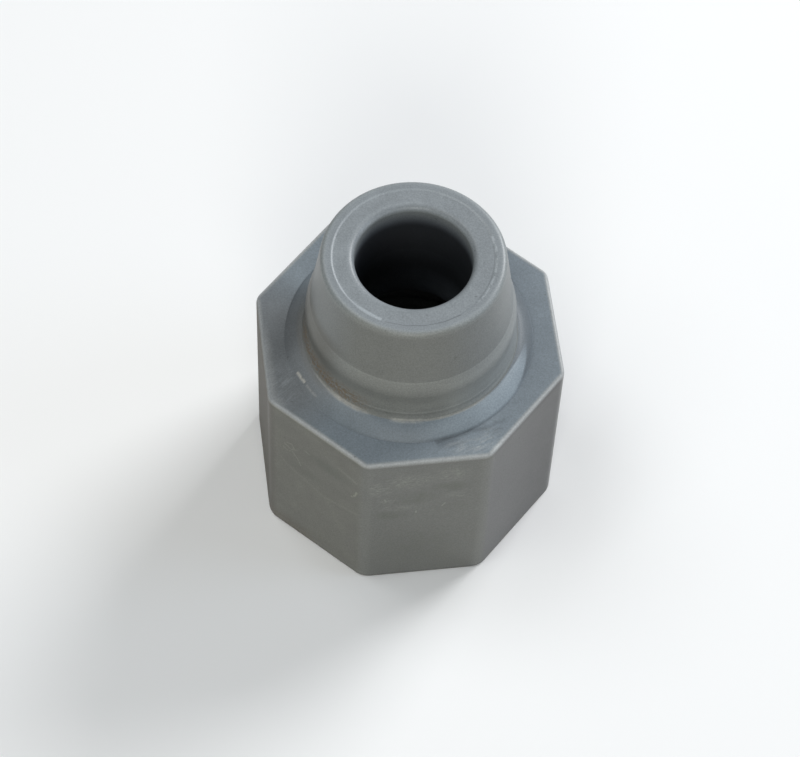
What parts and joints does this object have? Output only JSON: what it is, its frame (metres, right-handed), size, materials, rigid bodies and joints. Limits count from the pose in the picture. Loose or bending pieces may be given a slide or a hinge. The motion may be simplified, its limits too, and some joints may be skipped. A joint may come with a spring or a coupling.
{
  "type": "tubing nut",
  "caption": "Octagonal moulded acetal compression nut with a tapered snout; it screws over a threaded fitting body to clamp and seal plastic tube.",
  "frame": {"origin": "centre of the flat open end that the nut stands on", "axes": "+Z along the nut's axis towards the snout's tip; -Y is the outward normal of one wrench flat"},
  "size_m": [0.0254, 0.0254, 0.031],
  "materials": {
    "grey_acetal": "satin moulded grey acetal, lightly scuffed"
  },
  "bodies": {
    "root": {"tubing_nut": "grey_acetal"}
  },
  "joints": []
}
